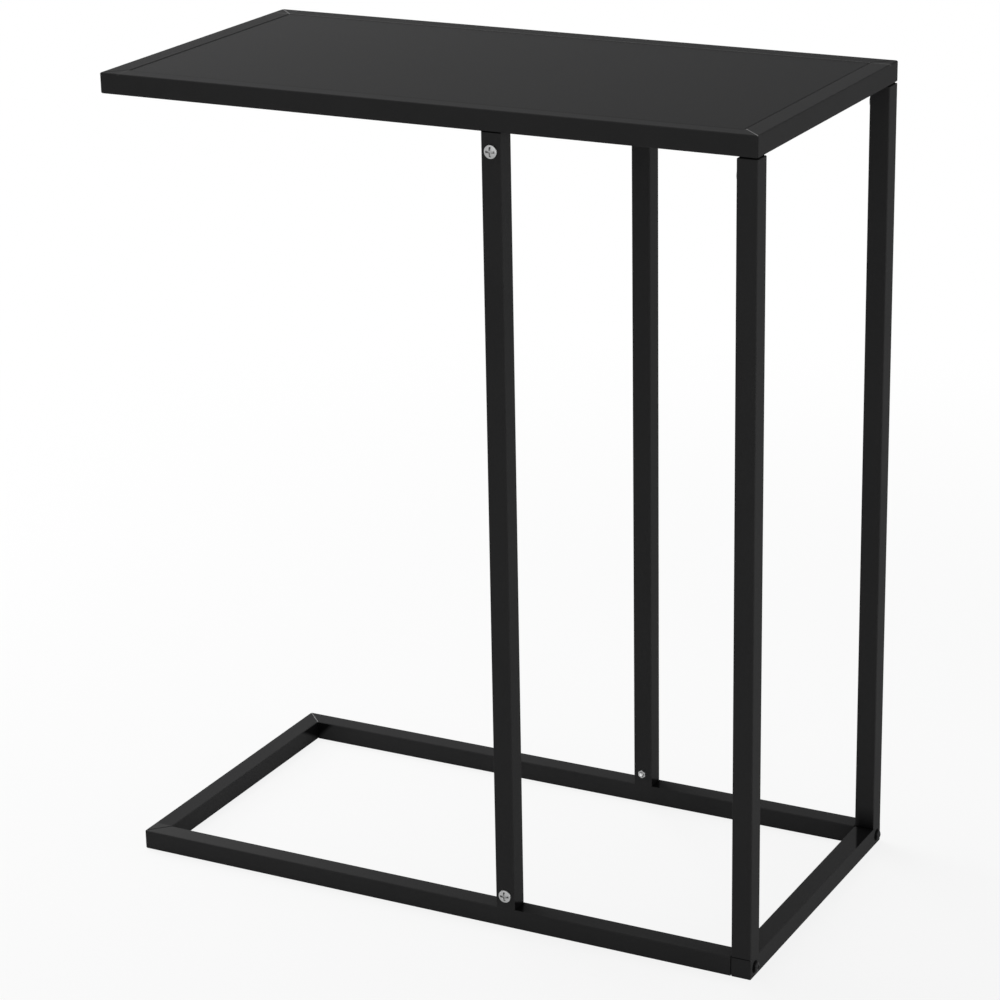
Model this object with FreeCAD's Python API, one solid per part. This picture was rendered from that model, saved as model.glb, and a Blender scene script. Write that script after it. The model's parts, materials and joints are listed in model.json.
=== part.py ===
import FreeCAD, Part
import math
import os

from FreeCAD import Placement, Rotation, Vector

# A C-shaped side table of square steel tube. It stands on Z = 0 with its length along X and its
# depth along Y. The two legs are at +X, and the open side of the C faces -X. All sizes are in mm.

# Overall size
TABLE_LENGTH = 500.0
TABLE_DEPTH = 250.0
TABLE_HEIGHT = 600.0

# Square steel tube that every frame member is cut from
TUBE_SIZE = 15.0
TUBE_WALL = 1.0
TUBE_CORNER_RADIUS = 1.0
BORE_CORNER_RADIUS = 0.3

# A post's scribed foot stops this far above where its carrier's rounded edge ends
SCRIBED_FOOT_RISE = 0.2

# Middle uprights, and the legs with the gap of their slip joints under the top frame
UPRIGHT_CENTRE_X = 58.5
LEG_TOP_GAP = 1.0

# Rounding of the tube ends that are left open to view: the legs' tops and the base rails' butt ends
LEG_END_RADIUS = 0.7
BUTT_END_RADIUS = 0.6

# Stubs and plugs that fit inside the tubes
PLUG_PLAY = 0.2
PLUG_CORNER_RADIUS = 1.0
STUB_WALL = 1.2
STUB_LENGTH = 25.0
RAIL_PLUG_LENGTH = 16.0

# Table top panel, set inside the mitred top frame a little below its upper faces
PANEL_THICKNESS = 9.0
PANEL_DROP = 0.5
PANEL_SEAM = 0.2
PANEL_EDGE_BREAK = 0.2

# Tabs welded inside the top frame, which carry the panel
TAB_LENGTH = 30.0
TAB_REACH = 16.0
TAB_THICKNESS = 1.5
TAB_CORNER_RADIUS = 4.0
TAB_SPACING = 300.0

# Panel screws, driven up through the tabs
PANEL_SCREW_DIAMETER = 3.5
PANEL_SCREW_BITE = 6.0
PANEL_SCREW_HEAD_DIAMETER = 7.0
PANEL_SCREW_HEAD_HEIGHT = 2.2
PANEL_SCREW_HEAD_RIM = 0.4

# Flat cross-recess bolts through the uprights, their nuts, and the shorter screws of the legs
JOINT_BOLT_DIAMETER = 3.0
JOINT_HEAD_DIAMETER = 9.4
JOINT_HEAD_HEIGHT = 1.8
JOINT_HEAD_RIM = 1.2
JOINT_BOLT_TIP = 1.5
UPPER_BOLT_DROP = 13.2
LOWER_BOLT_RISE = 9.8
NUT_ACROSS_FLATS = 5.5
NUT_HEIGHT = 2.4
LEG_SCREW_BITE = 8.0

# Cross recess of the bolts and screws
RECESS_SPAN = 6.0
RECESS_WIDTH = 1.2
RECESS_DEPTH = 0.9
SMALL_RECESS_SPAN = 4.0
SMALL_RECESS_WIDTH = 0.9
SMALL_RECESS_DEPTH = 1.2

# Button-head bolts that hold the crossbar to the base rails
BASE_BOLT_DIAMETER = 5.0
BASE_HEAD_DIAMETER = 9.5
BASE_HEAD_HEIGHT = 2.75
BASE_HEAD_RIM = 0.4
BASE_BOLT_BITE = 12.0
KEY_ACROSS_FLATS = 3.0
KEY_DEPTH = 1.5

# Plastic caps in the crossbar's ends
CAP_FLANGE = 1.5
CAP_EDGE_RADIUS = 0.8
CAP_WALL = 1.2
CAP_PLAY = 0.1
CAP_BOLT_CLEARANCE = 0.8

# Fits that all fasteners share: a free hole, a threaded hole and the bevel at a tip
HOLE_PLAY = 0.25
THREAD_PLAY = 0.05
TIP_BEVEL = 0.4

# How far a cutting tool runs past the surface that it cuts, and how close two levels count as one
CUT_MARGIN = 1.0
SAME_LEVEL = 1e-6

# Levels and places that follow from these sizes
HALF_LENGTH = TABLE_LENGTH / 2
HALF_DEPTH = TABLE_DEPTH / 2
HALF_TUBE = TUBE_SIZE / 2
TOP_UNDERSIDE = TABLE_HEIGHT - TUBE_SIZE
LEG_TOP = TOP_UNDERSIDE - LEG_TOP_GAP
UPPER_BOLT_Z = TOP_UNDERSIDE - UPPER_BOLT_DROP
LOWER_BOLT_Z = TUBE_SIZE + LOWER_BOLT_RISE
LEG_CENTRE_X = HALF_LENGTH - HALF_TUBE
RAIL_CENTRE_Y = HALF_DEPTH - HALF_TUBE
BUTT_X = HALF_LENGTH - TUBE_SIZE
PANEL_FACE = TABLE_HEIGHT - PANEL_DROP
PANEL_UNDERSIDE = PANEL_FACE - PANEL_THICKNESS
TAB_UNDERSIDE = PANEL_UNDERSIDE - TAB_THICKNESS
BORE_SIZE = TUBE_SIZE - 2 * TUBE_WALL
PLUG_SIZE = BORE_SIZE - 2 * PLUG_PLAY

X = Vector(1, 0, 0)
Y = Vector(0, 1, 0)
Z = Vector(0, 0, 1)
SIDES = {"front": -1, "rear": 1}


def rounded_square(size, radius):
    """Outline of a square with rounded corners, centred on the Z axis."""
    half = size / 2
    flat = half - radius
    middle = flat + radius * math.sqrt(0.5)
    edges = []
    for corner in range(4):
        turn = Rotation(Z, 90 * corner)
        start, bend, bulge, end = [
            turn.multVec(Vector(x, y, 0))
            for x, y in ((half, -flat), (half, flat), (middle, middle), (flat, half))
        ]
        edges.append(Part.LineSegment(start, bend).toShape())
        edges.append(Part.Arc(bend, bulge, end).toShape())
    return Part.Wire(edges)


def square_bar(size, radius, length):
    """Solid square bar that stands on Z = 0."""
    return Part.Face(rounded_square(size, radius)).extrude(Z * length)


def edges_at(shape, height):
    """The edges that lie flat at one height."""
    return [
        edge
        for edge in shape.Edges
        if all(abs(vertex.Z - height) < SAME_LEVEL for vertex in edge.Vertexes)
    ]


def place(shape, direction, start):
    """Turn a shape's Z axis to a direction and put its origin at a point."""
    return shape.transformed(Placement(start, Rotation(Z, direction)).toMatrix())


def solid_tube(length):
    """The outer form of one length of the frame's tube."""
    return square_bar(TUBE_SIZE, TUBE_CORNER_RADIUS, length)


def frame_tube(length, end_radius=0):
    """One length of the frame's tube. Its upper end may have its outer edge rounded."""
    bar = solid_tube(length)
    if end_radius > 0:
        bar = bar.makeFillet(end_radius, edges_at(bar, length))
    return bar.cut(square_bar(BORE_SIZE, BORE_CORNER_RADIUS, length))


def hole(diameter, length, direction, start):
    """Drill of one diameter, from a start point along a direction."""
    return place(Part.makeCylinder(diameter / 2, length), direction, start)


def mitre_wedge(side_x, side_y, along_x, floor_z):
    """Waste beyond the 45 degree cut where a rail meets its neighbour at a frame's corner."""
    near = -CUT_MARGIN
    far = TUBE_SIZE + CUT_MARGIN
    waste_corner = (near, far) if along_x else (far, near)
    outline = [
        Vector(side_x * (HALF_LENGTH - u), side_y * (HALF_DEPTH - v), floor_z - CUT_MARGIN)
        for u, v in ((near, near), waste_corner, (far, far))
    ]
    waste = Part.Face(Part.makePolygon(outline + outline[:1]))
    return waste.extrude(Z * (TUBE_SIZE + 2 * CUT_MARGIN))


def mitred_long_rail(tube, side, floor_z, mitred_sides):
    """Front or rear rail of a frame, mitred at the ends that are named by their sign in X."""
    rail = place(tube, X, Vector(-HALF_LENGTH, side * RAIL_CENTRE_Y, floor_z + HALF_TUBE))
    for side_x in mitred_sides:
        rail = rail.cut(mitre_wedge(side_x, side, True, floor_z))
    return rail


def top_long_rail(side):
    """Front or rear rail of the top frame, mitred at both ends."""
    return mitred_long_rail(frame_tube(TABLE_LENGTH), side, TOP_UNDERSIDE, (-1, 1))


def base_long_rail(side):
    """Front or rear rail of the base, mitred at the left. Its rounded right end butts on the crossbar."""
    tube = frame_tube(BUTT_X + HALF_LENGTH, BUTT_END_RADIUS)
    return mitred_long_rail(tube, side, 0, (-1,))


def short_rail(side_x, floor_z):
    """Left or right rail of a frame, mitred at both ends."""
    start = Vector(side_x * LEG_CENTRE_X, -HALF_DEPTH, floor_z + HALF_TUBE)
    rail = place(frame_tube(TABLE_DEPTH), Y, start)
    for side in SIDES.values():
        rail = rail.cut(mitre_wedge(side_x, side, False, floor_z))
    return rail


def scribed_post(centre_x, side, top, end_radius, carrier):
    """Post whose foot is scribed to the rounded edges of the tube that it stands on."""
    foot = TUBE_SIZE - TUBE_CORNER_RADIUS + SCRIBED_FOOT_RISE
    tube = frame_tube(top - foot, end_radius)
    return place(tube, Z, Vector(centre_x, side * RAIL_CENTRE_Y, foot)).cut(carrier)


def middle_upright(side):
    """Upright between base and top, drilled across for its two bolts."""
    rail_start = Vector(-HALF_LENGTH, side * RAIL_CENTRE_Y, HALF_TUBE)
    rail = place(solid_tube(TABLE_LENGTH), X, rail_start)
    post = scribed_post(UPRIGHT_CENTRE_X, side, TOP_UNDERSIDE, 0, rail)
    return post.cut(upright_bolt_holes(side, JOINT_BOLT_DIAMETER + 2 * HOLE_PLAY))


def upright_bolt_holes(side, diameter):
    """The two cross holes of an upright, at its foot and under the top frame."""
    drills = []
    for height in (LOWER_BOLT_Z, UPPER_BOLT_Z):
        start = Vector(UPRIGHT_CENTRE_X, side * (HALF_DEPTH + CUT_MARGIN), height)
        drills.append(hole(diameter, TUBE_SIZE + 2 * CUT_MARGIN, Y * -side, start))
    return Part.Compound(drills)


def upright_stub(side, floor_z):
    """Short inner tube, welded to a rail, that an upright slips over."""
    bar = square_bar(PLUG_SIZE, PLUG_CORNER_RADIUS, STUB_LENGTH)
    bore = square_bar(PLUG_SIZE - 2 * STUB_WALL, BORE_CORNER_RADIUS, STUB_LENGTH)
    stub = place(bar.cut(bore), Z, Vector(UPRIGHT_CENTRE_X, side * RAIL_CENTRE_Y, floor_z))
    return stub.cut(upright_bolt_holes(side, JOINT_BOLT_DIAMETER + 2 * HOLE_PLAY))


def corner_leg(side):
    """Leg that stands on the crossbar, drilled on its hidden inner face for one screw."""
    bar_start = Vector(LEG_CENTRE_X, -HALF_DEPTH, HALF_TUBE)
    bar = place(solid_tube(TABLE_DEPTH), Y, bar_start)
    post = scribed_post(LEG_CENTRE_X, side, LEG_TOP, LEG_END_RADIUS, bar)
    start = Vector(BUTT_X - CUT_MARGIN, side * RAIL_CENTRE_Y, UPPER_BOLT_Z)
    return post.cut(hole(JOINT_BOLT_DIAMETER + 2 * HOLE_PLAY, HALF_TUBE, X, start))


def leg_plug(side):
    """Solid plug, welded under a corner of the top frame, that a leg slips over. It is tapped."""
    foot = Vector(LEG_CENTRE_X, side * RAIL_CENTRE_Y, TOP_UNDERSIDE - STUB_LENGTH)
    plug = place(square_bar(PLUG_SIZE, PLUG_CORNER_RADIUS, STUB_LENGTH), Z, foot)
    start = Vector(BUTT_X, side * RAIL_CENTRE_Y, UPPER_BOLT_Z)
    return plug.cut(hole(JOINT_BOLT_DIAMETER + 2 * THREAD_PLAY, TUBE_SIZE, X, start))


def crossbar():
    """Right-hand base tube that carries the legs, drilled through for the two base bolts."""
    start = Vector(LEG_CENTRE_X, CAP_FLANGE - HALF_DEPTH, HALF_TUBE)
    bar = place(frame_tube(TABLE_DEPTH - 2 * CAP_FLANGE), Y, start)
    for side in SIDES.values():
        drill_start = Vector(BUTT_X - CUT_MARGIN, side * RAIL_CENTRE_Y, HALF_TUBE)
        drill_length = TUBE_SIZE + 2 * CUT_MARGIN
        bar = bar.cut(hole(BASE_BOLT_DIAMETER + 2 * HOLE_PLAY, drill_length, X, drill_start))
    return bar


def end_cap(side):
    """Cap with a rounded flange and a hollow insert that stops short of the base bolt."""
    flange = solid_tube(CAP_FLANGE)
    flange = flange.makeFillet(CAP_EDGE_RADIUS, edges_at(flange, CAP_FLANGE))
    depth = HALF_TUBE - BASE_BOLT_DIAMETER / 2 - CAP_BOLT_CLEARANCE - CAP_FLANGE
    insert_size = BORE_SIZE - 2 * CAP_PLAY
    insert = square_bar(insert_size, PLUG_CORNER_RADIUS, depth)
    insert = insert.cut(square_bar(insert_size - 2 * CAP_WALL, BORE_CORNER_RADIUS, depth))
    cap = flange.fuse(place(insert, Z, Z * -depth)).removeSplitter()
    return place(cap, Y * side, Vector(LEG_CENTRE_X, side * (HALF_DEPTH - CAP_FLANGE), HALF_TUBE))


def rail_plug(side):
    """Tapped plug in the butt end of a base rail, which the base bolt pulls on the crossbar."""
    start = Vector(BUTT_X - RAIL_PLUG_LENGTH, side * RAIL_CENTRE_Y, HALF_TUBE)
    plug = place(square_bar(PLUG_SIZE, PLUG_CORNER_RADIUS, RAIL_PLUG_LENGTH), X, start)
    return plug.cut(hole(BASE_BOLT_DIAMETER + 2 * THREAD_PLAY, RAIL_PLUG_LENGTH, X, start))


def domed_bolt(diameter, length, head_diameter, head_height, head_rim):
    """Bolt that hangs below Z = 0 from a domed head on a straight rim, turned as one profile."""
    radius = diameter / 2
    head_radius = head_diameter / 2
    crown = head_height - head_rim
    sphere = (crown**2 + head_radius**2) / (2 * crown)
    half_angle = math.asin(head_radius / sphere) / 2
    sphere_z = head_height - sphere
    shoulder = Vector(sphere * math.sin(half_angle), 0, sphere_z + sphere * math.cos(half_angle))
    apex = Vector(0, 0, head_height)
    outline = [
        apex,
        Vector(0, 0, -length),
        Vector(radius - TIP_BEVEL, 0, -length),
        Vector(radius, 0, TIP_BEVEL - length),
        Vector(radius, 0, 0),
        Vector(head_radius, 0, 0),
        Vector(head_radius, 0, head_rim),
    ]
    edges = [Part.LineSegment(a, b).toShape() for a, b in zip(outline, outline[1:])]
    edges.append(Part.Arc(outline[-1], shoulder, apex).toShape())
    return Part.Face(Part.Wire(edges)).revolve(Vector(0, 0, 0), Z, 360)


def cross_recess(span, width, depth, head_height):
    """Two crossed slots, sunk into a head from its crown."""
    tall = depth + CUT_MARGIN
    floor = head_height - depth
    slots = [
        Part.makeBox(a, b, tall, Vector(-a / 2, -b / 2, floor))
        for a, b in ((span, width), (width, span))
    ]
    return slots[0].fuse(slots[1]).removeSplitter()


def hexagon(across_flats, height):
    """Hexagonal prism that stands on Z = 0."""
    corner = across_flats / math.sqrt(3)
    points = [Rotation(Z, 60 * i).multVec(Vector(corner, 0, 0)) for i in range(7)]
    return Part.Face(Part.makePolygon(points)).extrude(Z * height)


def joint_bolt(length):
    """Low-headed bolt with a cross recess, as used through the uprights and into the legs."""
    bolt = domed_bolt(
        JOINT_BOLT_DIAMETER, length, JOINT_HEAD_DIAMETER, JOINT_HEAD_HEIGHT, JOINT_HEAD_RIM
    )
    return bolt.cut(cross_recess(RECESS_SPAN, RECESS_WIDTH, RECESS_DEPTH, JOINT_HEAD_HEIGHT))


def upright_bolts():
    """The four bolts, with their heads on the outer faces of the uprights."""
    bolt = joint_bolt(TUBE_SIZE + NUT_HEIGHT + JOINT_BOLT_TIP)
    places = [(side, z) for side in SIDES.values() for z in (LOWER_BOLT_Z, UPPER_BOLT_Z)]
    return Part.Compound(
        [place(bolt, Y * side, Vector(UPRIGHT_CENTRE_X, side * HALF_DEPTH, z)) for side, z in places]
    )


def upright_nuts():
    """The four nuts, on the inner faces of the uprights."""
    nut = hexagon(NUT_ACROSS_FLATS, NUT_HEIGHT)
    nut = nut.cut(Part.makeCylinder(JOINT_BOLT_DIAMETER / 2 + THREAD_PLAY, NUT_HEIGHT))
    seat_y = HALF_DEPTH - TUBE_SIZE
    places = [(side, z) for side in SIDES.values() for z in (LOWER_BOLT_Z, UPPER_BOLT_Z)]
    return Part.Compound(
        [place(nut, Y * -side, Vector(UPRIGHT_CENTRE_X, side * seat_y, z)) for side, z in places]
    )


def leg_screws():
    """The two screws that lock the legs to their plugs, on the hidden inner faces."""
    screw = joint_bolt(TUBE_WALL + PLUG_PLAY + LEG_SCREW_BITE)
    seats = [Vector(BUTT_X, side * RAIL_CENTRE_Y, UPPER_BOLT_Z) for side in SIDES.values()]
    return Part.Compound([place(screw, -X, seat) for seat in seats])


def base_bolts():
    """The two button-head bolts in the crossbar's outer face."""
    length = TUBE_SIZE + BASE_BOLT_BITE
    bolt = domed_bolt(
        BASE_BOLT_DIAMETER, length, BASE_HEAD_DIAMETER, BASE_HEAD_HEIGHT, BASE_HEAD_RIM
    )
    key = hexagon(KEY_ACROSS_FLATS, KEY_DEPTH + CUT_MARGIN)
    bolt = bolt.cut(place(key, Z, Z * (BASE_HEAD_HEIGHT - KEY_DEPTH)))
    seats = [Vector(HALF_LENGTH, side * RAIL_CENTRE_Y, HALF_TUBE) for side in SIDES.values()]
    return Part.Compound([place(bolt, X, seat) for seat in seats])


def tab_places():
    """Where each tab meets the top frame's inner wall, with its turn about Z in degrees."""
    wall_x = HALF_LENGTH - TUBE_SIZE
    wall_y = HALF_DEPTH - TUBE_SIZE
    spots = []
    for offset in (-TAB_SPACING / 2, TAB_SPACING / 2):
        spots.append((Vector(offset, -wall_y, 0), 0))
        spots.append((Vector(offset, wall_y, 0), 180))
    spots.append((Vector(wall_x, 0, 0), 90))
    spots.append((Vector(-wall_x, 0, 0), 270))
    return spots


def on_tabs(shape):
    """Copies of a shape, made for a tab that reaches along +Y, at every tab of the frame."""
    return [shape.transformed(Placement(p, Rotation(Z, turn)).toMatrix()) for p, turn in tab_places()]


def panel_tabs():
    """The tabs: small plates with rounded free corners and one screw hole each."""
    blank = Part.makeBox(TAB_LENGTH, TAB_REACH, TAB_THICKNESS, Vector(-TAB_LENGTH / 2, 0, TAB_UNDERSIDE))
    free_corners = [
        edge
        for edge in blank.Edges
        if all(abs(vertex.Y - TAB_REACH) < SAME_LEVEL for vertex in edge.Vertexes)
        and edge.tangentAt(edge.FirstParameter).cross(Z).Length < SAME_LEVEL
    ]
    tab = blank.makeFillet(TAB_CORNER_RADIUS, free_corners)
    start = Vector(0, TAB_REACH / 2, TAB_UNDERSIDE)
    tab = tab.cut(hole(PANEL_SCREW_DIAMETER + 2 * HOLE_PLAY, TAB_THICKNESS, Z, start))
    return Part.Compound(on_tabs(tab))


def panel_screws():
    """The screws under the tabs."""
    length = TAB_THICKNESS + PANEL_SCREW_BITE
    screw = domed_bolt(
        PANEL_SCREW_DIAMETER,
        length,
        PANEL_SCREW_HEAD_DIAMETER,
        PANEL_SCREW_HEAD_HEIGHT,
        PANEL_SCREW_HEAD_RIM,
    )
    recess = cross_recess(
        SMALL_RECESS_SPAN, SMALL_RECESS_WIDTH, SMALL_RECESS_DEPTH, PANEL_SCREW_HEAD_HEIGHT
    )
    screw = place(screw.cut(recess), -Z, Vector(0, TAB_REACH / 2, TAB_UNDERSIDE))
    return Part.Compound(on_tabs(screw))


def top_panel():
    """Board inside the top frame, with its upper edges broken and a pilot hole over each tab."""
    length = TABLE_LENGTH - 2 * (TUBE_SIZE + PANEL_SEAM)
    depth = TABLE_DEPTH - 2 * (TUBE_SIZE + PANEL_SEAM)
    corner = Vector(-length / 2, -depth / 2, PANEL_UNDERSIDE)
    board = Part.makeBox(length, depth, PANEL_THICKNESS, corner)
    board = board.makeChamfer(PANEL_EDGE_BREAK, edges_at(board, PANEL_FACE))
    start = Vector(0, TAB_REACH / 2, PANEL_UNDERSIDE)
    pilot = hole(PANEL_SCREW_DIAMETER + 2 * THREAD_PLAY, PANEL_SCREW_BITE + THREAD_PLAY, Z, start)
    return board.cut(Part.Compound(on_tabs(pilot)))


def build_table():
    """Every piece of the table by name."""
    pieces = {
        "top_panel": top_panel(),
        "top_left_rail": short_rail(-1, TOP_UNDERSIDE),
        "top_right_rail": short_rail(1, TOP_UNDERSIDE),
        "panel_tabs": panel_tabs(),
        "panel_screws": panel_screws(),
        "base_left_rail": short_rail(-1, 0),
        "base_crossbar": crossbar(),
        "base_bolts": base_bolts(),
        "upright_bolts": upright_bolts(),
        "upright_nuts": upright_nuts(),
        "leg_screws": leg_screws(),
    }
    for name, side in SIDES.items():
        pieces[f"top_{name}_rail"] = top_long_rail(side)
        pieces[f"base_{name}_rail"] = base_long_rail(side)
        pieces[f"{name}_leg"] = corner_leg(side)
        pieces[f"{name}_leg_plug"] = leg_plug(side)
        pieces[f"{name}_upright"] = middle_upright(side)
        pieces[f"{name}_upper_stub"] = upright_stub(side, TOP_UNDERSIDE - STUB_LENGTH)
        pieces[f"{name}_lower_stub"] = upright_stub(side, TUBE_SIZE)
        pieces[f"{name}_rail_plug"] = rail_plug(side)
        pieces[f"{name}_end_cap"] = end_cap(side)
    return pieces


os.makedirs("parts", exist_ok=True)
for piece_name, piece in build_table().items():
    piece.exportStep(f"parts/{piece_name}.step")
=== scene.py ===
import json
import math

import bmesh
import bpy
from mathutils import Matrix, Vector


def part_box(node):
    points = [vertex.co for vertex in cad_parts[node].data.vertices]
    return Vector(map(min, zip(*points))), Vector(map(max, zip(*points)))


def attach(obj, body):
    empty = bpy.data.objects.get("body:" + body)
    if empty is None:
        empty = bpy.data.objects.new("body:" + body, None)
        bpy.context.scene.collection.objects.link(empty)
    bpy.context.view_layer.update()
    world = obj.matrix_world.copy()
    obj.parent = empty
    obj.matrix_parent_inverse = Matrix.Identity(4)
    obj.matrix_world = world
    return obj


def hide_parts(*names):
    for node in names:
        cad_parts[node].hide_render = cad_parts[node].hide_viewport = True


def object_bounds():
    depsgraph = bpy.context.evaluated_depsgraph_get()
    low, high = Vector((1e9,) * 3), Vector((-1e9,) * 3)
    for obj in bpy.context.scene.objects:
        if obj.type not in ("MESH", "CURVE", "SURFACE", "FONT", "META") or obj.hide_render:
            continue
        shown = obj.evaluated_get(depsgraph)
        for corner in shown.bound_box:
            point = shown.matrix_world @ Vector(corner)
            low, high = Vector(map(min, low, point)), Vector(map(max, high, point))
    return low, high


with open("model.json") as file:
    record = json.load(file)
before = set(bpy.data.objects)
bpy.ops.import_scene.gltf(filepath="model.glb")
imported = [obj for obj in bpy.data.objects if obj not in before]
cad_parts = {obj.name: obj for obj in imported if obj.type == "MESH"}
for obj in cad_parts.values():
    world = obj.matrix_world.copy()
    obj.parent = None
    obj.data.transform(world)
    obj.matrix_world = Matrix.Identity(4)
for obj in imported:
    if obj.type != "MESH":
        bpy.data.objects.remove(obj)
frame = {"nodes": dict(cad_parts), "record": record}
CAD_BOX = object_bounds()

# A C-shaped side table of black square tube. Lengths are in metres, in the frame of the CAD model:
# the length along X with the legs at +X, the depth along Y with the front at -Y, the floor at Z = 0.
MM = 0.001

# Square tube of the frame, and how much its flat faces weigh in the smoothing
TUBE_SIZE = 15.0 * MM
TUBE_WALL = 1.0 * MM
TUBE_CORNER_RADIUS = 1.0 * MM
TUBE_CORNER_STEPS = 8
TUBE_END_STEPS = 4
FLAT_FACE_WEIGHT = 100

# Ends of the tubes: their rounding, the slit at the butt joints, and how far a post's scribed foot
# reaches down beside its carrier
LEG_END_ROUNDING = 0.5 * MM
BUTT_END_ROUNDING = 0.3 * MM
BUTT_GAP = 0.6 * MM
MITRE_ROUNDING = 0.7 * MM
CAPPED_END_ROUNDING = 0.2 * MM
SHARP_END_ROUNDING = 0.05 * MM
SCRIBE_DEPTH = 0.8 * MM

# Cross-recess bolts of the uprights, the shorter screws of the legs, and the nuts
BOLT_DIAMETER = 3.0 * MM
BOLT_PITCH = 0.5 * MM
BOLT_HEAD_DIAMETER = 9.4 * MM
BOLT_HEAD_HEIGHT = 1.8 * MM
BOLT_HEAD_RIM = 1.2 * MM
BOLT_TIP = 1.5 * MM
RECESS_SPAN = 7.2 * MM
RECESS_FLOOR_SPAN = 6.2 * MM
RECESS_WIDTH = 1.6 * MM
RECESS_FLOOR_WIDTH = 1.1 * MM
RECESS_DEPTH = 1.1 * MM
NUT_ACROSS_FLATS = 5.5 * MM
NUT_HEIGHT = 2.4 * MM
NUT_CHAMFER_ANGLE = math.radians(30.0)
NUT_FACE_SHARE = 0.95

# Button-head bolts of the base
BASE_BOLT_DIAMETER = 5.0 * MM
BASE_BOLT_PITCH = 0.8 * MM
BASE_HEAD_DIAMETER = 9.5 * MM
BASE_HEAD_HEIGHT = 2.75 * MM
BASE_HEAD_RIM = 0.45 * MM
KEY_ACROSS_FLATS = 3.0 * MM
KEY_DEPTH = 1.5 * MM
KEY_DRILL_DEPTH = 0.5 * MM

# Forms that all fasteners share
RIM_ROUNDING = 0.15 * MM
TIP_BEVEL = 0.4 * MM
TURNED_STEPS = 48
DOME_STEPS = 8
THREAD_DEPTH_SHARE = 0.55
THREADED_TURNS = 8
SHARP_ANGLE = math.radians(32.0)

# How far a cutting tool reaches out of what it cuts, and how near points lie that become one
CUT_MARGIN = 1.0 * MM
MERGE_DISTANCE = 0.01 * MM

# How far each fastener is turned about its axis, in degrees; on the uprights the lower one comes first
BOLT_TURNS = {"front": (3.0, 1.0), "rear": (-31.0, 22.0)}
NUT_TURNS = {"front": (10.0, 24.0), "rear": (32.0, -17.0)}
LEG_SCREW_TURNS = {"front": 35.0, "rear": -12.0}
BASE_BOLT_TURNS = {"front": 8.0, "rear": 21.0}

# Camera
CAMERA_PLACE = Vector((1.03350, -1.98635, 1.07168))
CAMERA_TARGET = Vector((-0.00496, 0.0, 0.27720))
CAMERA_ROLL = math.radians(-1.088)
CAMERA_LENS = 116.684
CAMERA_SENSOR = 36.0

# Places on the table that its finishes follow
TABLE_HEIGHT = CAD_BOX[1].z
TOP_UNDERSIDE = TABLE_HEIGHT - TUBE_SIZE
HALF_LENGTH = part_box("front_leg")[1].x
HALF_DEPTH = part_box("rear_leg")[1].y
INNER_X = HALF_LENGTH - TUBE_SIZE
INNER_Y = HALF_DEPTH - TUBE_SIZE
UPRIGHT_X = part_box("front_upright")[0].x + TUBE_SIZE / 2
UPRIGHT_RIGHT = UPRIGHT_X + TUBE_SIZE / 2
BOLT_HEIGHTS = (
    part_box("upright_bolts")[0].z + BOLT_HEAD_DIAMETER / 2,
    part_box("upright_bolts")[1].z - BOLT_HEAD_DIAMETER / 2,
)

# Powder coat: its orange peel, its grain and the clouds in its tone
COAT_PEEL = 1.3 * MM
COAT_GRAIN = 0.35 * MM
COAT_GRAIN_HEIGHT = 0.35
COAT_CLOUD = 45.0 * MM
COAT_TONES = ((0.0285, 0.0285, 0.0288), (0.0330, 0.0330, 0.0333))
COAT_BUMP = (0.06 * MM, 0.5)
COAT_ROUGHNESS = (0.48, 0.10, 0.04)
MATT_SPECULAR = 0.003

# Laminate: its pebble, the fibres that show through, smears, and painted shade towards the legs
LAMINATE_PEBBLE = 0.5 * MM
LAMINATE_FIBRE = 2.2 * MM
LAMINATE_FIBRE_STRETCH = (0.25, 1.0, 1.0)
LAMINATE_FIBRE_HEIGHT = 0.25
LAMINATE_SMEAR = 70.0 * MM
LAMINATE_TONES = ((0.0304, 0.0304, 0.0307), (0.0324, 0.0324, 0.0327))
LAMINATE_LEG_SHADE = (0.0268, 0.0268, 0.0271)
LAMINATE_SHADE_FALLOFF = 0.6
LAMINATE_BUMP = (0.03 * MM, 0.4)
LAMINATE_ROUGHNESS = (0.48, 0.08, 0.02)

# Zinc plate: its clouds and scuffs
ZINC_CLOUD = 2.4 * MM
ZINC_SCUFF = 0.5 * MM
ZINC_SCUFF_STRETCH = (1.0, 1.0, 0.2)
ZINC_TONES = ((0.33, 0.335, 0.34), (0.43, 0.43, 0.425))
ZINC_BUMP = (0.01 * MM, 0.35)
ZINC_ROUGHNESS = (0.36, 0.12, 0.10)

# Black oxide: its clouds and grit
OXIDE_CLOUD = 1.8 * MM
OXIDE_GRIT = 0.25 * MM
OXIDE_TONES = ((0.022, 0.022, 0.023), (0.032, 0.032, 0.033))
OXIDE_BUMP = (0.015 * MM, 0.4)
OXIDE_ROUGHNESS = (0.36, 0.12, 0.08)
OXIDE_SPECULAR = 0.02

# Plastic of the end caps: its grain and clouds
CAP_GRAIN = 0.28 * MM
CAP_CLOUD = 12.0 * MM
CAP_BUMP = (0.03 * MM, 0.5)
CAP_ROUGHNESS = 0.46
CAP_GRAIN_ROUGHNESS = 0.12

# Painted shadows in the inside corners of the base: how they spread away from the posts and below the
# edges
POST_SHADOW_SLANT = 0.45
LEG_SHADOW_SLANT = 0.38
LEG_SHADOW_INSET = 1.5 * MM
LEG_SHADOW_RISE = 18.0 * MM
CORNER_SHADOW_SLANTS = (1.75, 1.0)
CORNER_SHADOW_CLEAR = 1.0 * MM
SHADOW_BLEND = 1.5 * MM
SHADOW_FADE = 5.0 * MM
SHADOW_AMOUNT = 0.92
PAINTED_SHADOW = (0.0022, 0.0022, 0.0023)
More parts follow.
